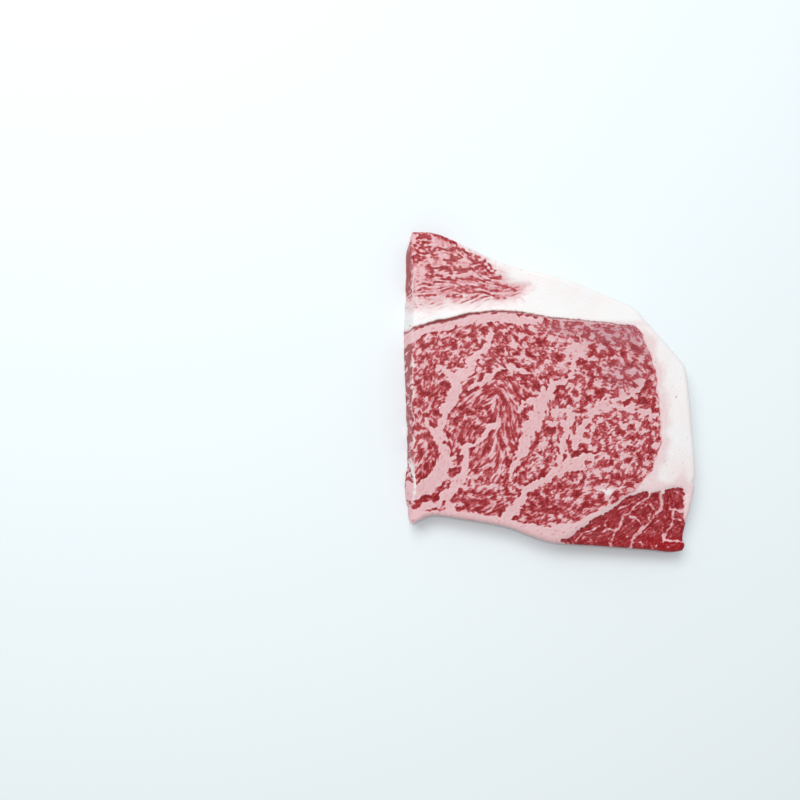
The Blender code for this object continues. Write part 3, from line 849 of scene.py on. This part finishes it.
def marbled_at(points, plan):
    """Each field at each point, with the marbling straying sideways as it goes down, as in real meat."""
    x, y, z = points.T
    deep = np.clip(THICKNESS - z, 0, None) / THICKNESS
    waves = points / (DEEP_WIDTH, DEEP_WIDTH, DEEP_LENGTH)
    x = x + DEEP_STRAY * deep * [noise.noise(Vector((a, b, c))) for a, b, c in waves]
    y = y + DEEP_STRAY * deep * [noise.noise(Vector((a + 31, b, c))) for a, b, c in waves]
    under = points[:, 2] < FOOT_RADIUS / 2
    values = {}
    for name, field in plan.items():
        values[name] = np.where(under, read_plan(blurred(field, UNDER_BLUR), x, y), read_plan(field, x, y))
    # Painted shade: below the rim the sides' lean is drawn darker red than on the top, apart from their white
    # fat
    values["marbling"] = values["marbling"] + 0.25 * smooth_step(deep * 3 - 0.2) * (values["marbling"] > -1.0)
    # Painted shading below the rim on the slanted cut side and on the tip's near side
    cut_side_shade = smooth_step((CUT_SHADE_FROM - points[:, 0]) / 4)
    tip_side_shade = smooth_step((points[:, 0] - TIP_SHADE_FROM[0]) / 6)
    tip_side_shade *= smooth_step((TIP_SHADE_FROM[1] - points[:, 1]) / 3)
    values["side_painted_shading"] = smooth_step(deep * 5) * np.maximum(cut_side_shade, tip_side_shade)
    return values


def build_steak(plan):
    """The steak's mesh, with the plan's fields as its attributes."""
    points, faces = steak_form()
    values = marbled_at(points, plan)
    top = smooth_step((points[:, 2] - THICKNESS + 3) / 2)
    lean = smooth_step(values["marbling"] / 0.5 + 0.5)
    points[:, 2] += top * (FAT_PROUD * (1 - lean) - SEAM_GROOVE * values["seam"])
    low, high = points.min(axis=0), points.max(axis=0)
    points -= ((low[0] + high[0]) / 2, (low[1] + high[1]) / 2, low[2])
    mesh = bpy.data.meshes.new("steak_meat")
    mesh.from_pydata((points * MM).tolist(), [], faces)
    mesh.validate()
    for name, field in values.items():
        attribute = mesh.attributes.new(name, "FLOAT", "POINT")
        attribute.data.foreach_set("value", field.astype(np.float32))
    mesh.shade_smooth()
    piece = bpy.data.objects.new("steak_meat", mesh)
    bpy.context.scene.collection.objects.link(piece)
    return piece


def linear(colour):
    """An sRGB hex colour as the linear RGBA that shaders take."""
    parts = [int(colour[i : i + 2], 16) / 255 for i in (1, 3, 5)]
    return tuple(c / 12.92 if c <= 0.04045 else ((c + 0.055) / 1.055) ** 2.4 for c in parts) + (1.0,)


def add(tree, kind, settings=(), **inputs):
    """Adds a node, with its settings, and its inputs as values or as nodes or sockets to link."""
    node = tree.nodes.new("ShaderNode" + kind)
    for name, value in dict(settings).items():
        setattr(node, name, value)
    for name, value in inputs.items():
        socket = node.inputs[int(name[1:])] if name[0] == "_" else node.inputs[name.replace("_", " ")]
        if isinstance(value, bpy.types.Node):
            value = value.outputs[0]
        if isinstance(value, bpy.types.NodeSocket):
            tree.links.new(value, socket)
        else:
            socket.default_value = value
    return node


def raw_beef():
    """Raw beef, freshly cut: matt pale fat and darker, wetter lean under one thin film of juice."""
    material = bpy.data.materials.new("raw_beef")
    material.use_nodes = True
    tree = material.node_tree
    shader = tree.nodes["Principled BSDF"]
    subtract = {"operation": "SUBTRACT"}
    multiply = {"operation": "MULTIPLY"}
    scale_and_add = {"operation": "MULTIPLY_ADD"}
    colours = {"data_type": "RGBA"}

    place = add(tree, "TexCoord").outputs["Object"]
    field = {name: add(tree, "Attribute", {"attribute_name": name}).outputs["Fac"] for name in FIELDS}
    noises = {
        name: add(tree, "TexNoise", Vector=place, Scale=1 / (size * MM), Detail=detail)
        for name, (size, detail) in NOISES.items()
    }
    bundles = add(tree, "TexVoronoi", Vector=place, Scale=1 / (BUNDLE_WIDTH * MM)).outputs["Color"]
    ragged = add(tree, "Math", subtract, _0=noises["ragged"], _1=0.5)
    finest = add(tree, "Math", subtract, _0=noises["finest"], _1=0.5)
    bundles = add(tree, "Math", subtract, _0=bundles, _1=0.5)

    # The lean's ragged edges and its bundles of fibres, calmer inside the larger pieces of fat
    grainy = 0.0
    for part, weight in ((ragged, 0.9), (finest, 0.6), (bundles, 0.7)):
        grainy = add(tree, "Math", scale_and_add, _0=part, _1=weight, _2=grainy)
    calm = add(tree, "MapRange", Value=field["marbling"], From_Min=-1.2, From_Max=-0.5, To_Min=0.25)
    level = add(tree, "Math", scale_and_add, _0=grainy, _1=calm, _2=field["marbling"])
    share = add(tree, "MapRange", Value=level, From_Min=-0.4, From_Max=0.3)

    # Pink fat through to dark red lean
    scaled = add(tree, "MapRange", Value=level, From_Min=LEAN_LOW, From_Max=LEAN_HIGH)
    ramp = add(tree, "ValToRGB", _0=scaled)
    elements = ramp.color_ramp.elements
    while len(elements) < len(LEAN_COLOURS):
        elements.new(0.5)
    for element, (lean, colour) in zip(elements, LEAN_COLOURS):
        element.position = (lean - LEAN_LOW) / (LEAN_HIGH - LEAN_LOW)
        element.color = linear(colour)
    meat = ramp.outputs[0]

    # Pale pink patches on the lean: partly its own pinkish film, partly painted sheen
    film = add(tree, "MapRange", Value=noises["film"], From_Min=0.50, From_Max=0.70)
    # Pale pink specks on the lean: partly flecks of fat, partly painted glints
    flecks_and_glints = add(tree, "MapRange", Value=noises["flecks_and_glints"], From_Min=0.70, From_Max=0.82)
    milk = add(tree, "Math", scale_and_add, _0=noises["milk"], _1=1.4, _2=0.15)
    milk = add(tree, "Math", multiply, _0=field["haze"], _1=milk)
    white = add(tree, "Mix", colours, _0=noises["white"], _6=linear("#e6dbda"), _7=linear("#e4eaea"))
    blood = add(tree, "Mix", colours, _0=noises["blood"], _6=linear("#4d1a1c"), _7=linear("#9a3a3e"))
    # What lies over the meat's colour: (where, how much of it on fat and on lean, its colour)
    layers = (
        # Partly painted sheen
        (film, 0.0, 0.16, linear("#c4747b")),
        # Partly painted glints
        (flecks_and_glints, 0.0, 0.6, linear("#cf8a8e")),
        # Painted light: paler pink fat on the shaded sides
        (field["side_painted_shading"], 0.45, 0.0, linear("#edb6bb")),
        (field["rind"], 1.0, 0.0, white.outputs[2]),
        (milk, 0.9, 0.28, linear("#b0818b")),
        # Painted shade: darker, deeper red lean on the shaded sides
        (field["side_painted_shading"], 0.0, 0.8, linear("#96060f")),
        (field["seam"], 1.0, 1.0, blood.outputs[2]),
    )
    for where, on_fat, on_lean, colour in layers:
        amount = add(tree, "MapRange", Value=share, To_Min=on_fat, To_Max=on_lean)
        amount = add(tree, "Math", multiply, _0=where, _1=amount)
        meat = add(tree, "Mix", colours, _0=amount, _6=meat, _7=colour).outputs[2]
    tree.links.new(meat, shader.inputs["Base Color"])

    # Juice lies in small pools, and keeps the lean a little glossier than the fat
    wet = add(tree, "MapRange", Value=noises["wet"], From_Min=0.56, From_Max=0.66)
    roughness = 0.45
    for part, weight in ((share, -0.08), (wet, -0.30)):
        roughness = add(tree, "Math", scale_and_add, _0=part, _1=weight, _2=roughness)
    tree.links.new(roughness.outputs[0], shader.inputs["Roughness"])
    shader.inputs["IOR"].default_value = 1.38
    shader.inputs["Specular IOR Level"].default_value = 0.3

    height = 0.0
    for part, weight in ((share, -0.12), (field["fibre"], 0.02), (finest, 0.10), (ragged, 0.14)):
        height = add(tree, "Math", scale_and_add, _0=part, _1=weight, _2=height)
    bump = add(tree, "Bump", Strength=0.7, Distance=1 * MM, Height=height)
    tree.links.new(bump.outputs[0], shader.inputs["Normal"])
    return material


def build_stage():
    """A plain pale table top."""
    mesh = bpy.data.meshes.new("table_top")
    corners = [(x * FLOOR_HALF, y * FLOOR_HALF, 0) for x, y in ((-1, -1), (1, -1), (1, 1), (-1, 1))]
    mesh.from_pydata(corners, [], [(0, 1, 2, 3)])
    floor = bpy.data.objects.new("table_top", mesh)
    bpy.context.scene.collection.objects.link(floor)
    # Matt paint: even, with no gloss that would take the eye off the steak
    material = bpy.data.materials.new("pale_paint")
    material.use_nodes = True
    shader = material.node_tree.nodes["Principled BSDF"]
    shader.inputs["Base Color"].default_value = linear(FLOOR_COLOUR)
    shader.inputs["Roughness"].default_value = 0.7
    mesh.materials.append(material)


def build_lights():
    """A bright, even sky, a soft box beyond the steak and a small lamp for the glints of juice."""
    world = bpy.data.worlds.new("studio")
    world.use_nodes = True
    background = world.node_tree.nodes["Background"]
    background.inputs["Color"].default_value = SKY_COLOUR
    background.inputs["Strength"].default_value = SKY_STRENGTH
    bpy.context.scene.world = world
    for name, (shape, width, depth, watts, place) in LAMPS.items():
        lamp = bpy.data.lights.new(name, "AREA")
        lamp.shape = shape
        lamp.size = width
        lamp.size_y = depth
        lamp.energy = watts
        holder = bpy.data.objects.new(name, lamp)
        holder.location = place
        holder.rotation_euler = (-holder.location).to_track_quat("-Z", "Y").to_euler()
        bpy.context.scene.collection.objects.link(holder)


def build_camera():
    """Straight above the middle of the photograph, as far off as there."""
    camera = bpy.data.objects.new("camera", bpy.data.cameras.new("camera"))
    bpy.context.scene.collection.objects.link(camera)
    bpy.context.scene.camera = camera
    middle = PHOTO_SIDE / 2
    x = PHOTO_SCALE * (middle - STEAK_IN_PHOTO[0])
    y = PHOTO_SCALE * (STEAK_IN_PHOTO[1] - middle)
    camera.location = Vector((x, y, CAMERA_HEIGHT)) * MM
    camera.data.angle = 2 * math.atan(PHOTO_SCALE * middle / (CAMERA_HEIGHT - RIM_HEIGHT))
    camera.data.clip_start = NEAREST_SEEN


build_camera()
build_lights()
build_stage()
steak = build_steak(marbling_plan())
steak.data.materials.append(raw_beef())
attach(steak, "root")
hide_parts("steak")
bpy.context.scene.view_settings.view_transform = "Standard"
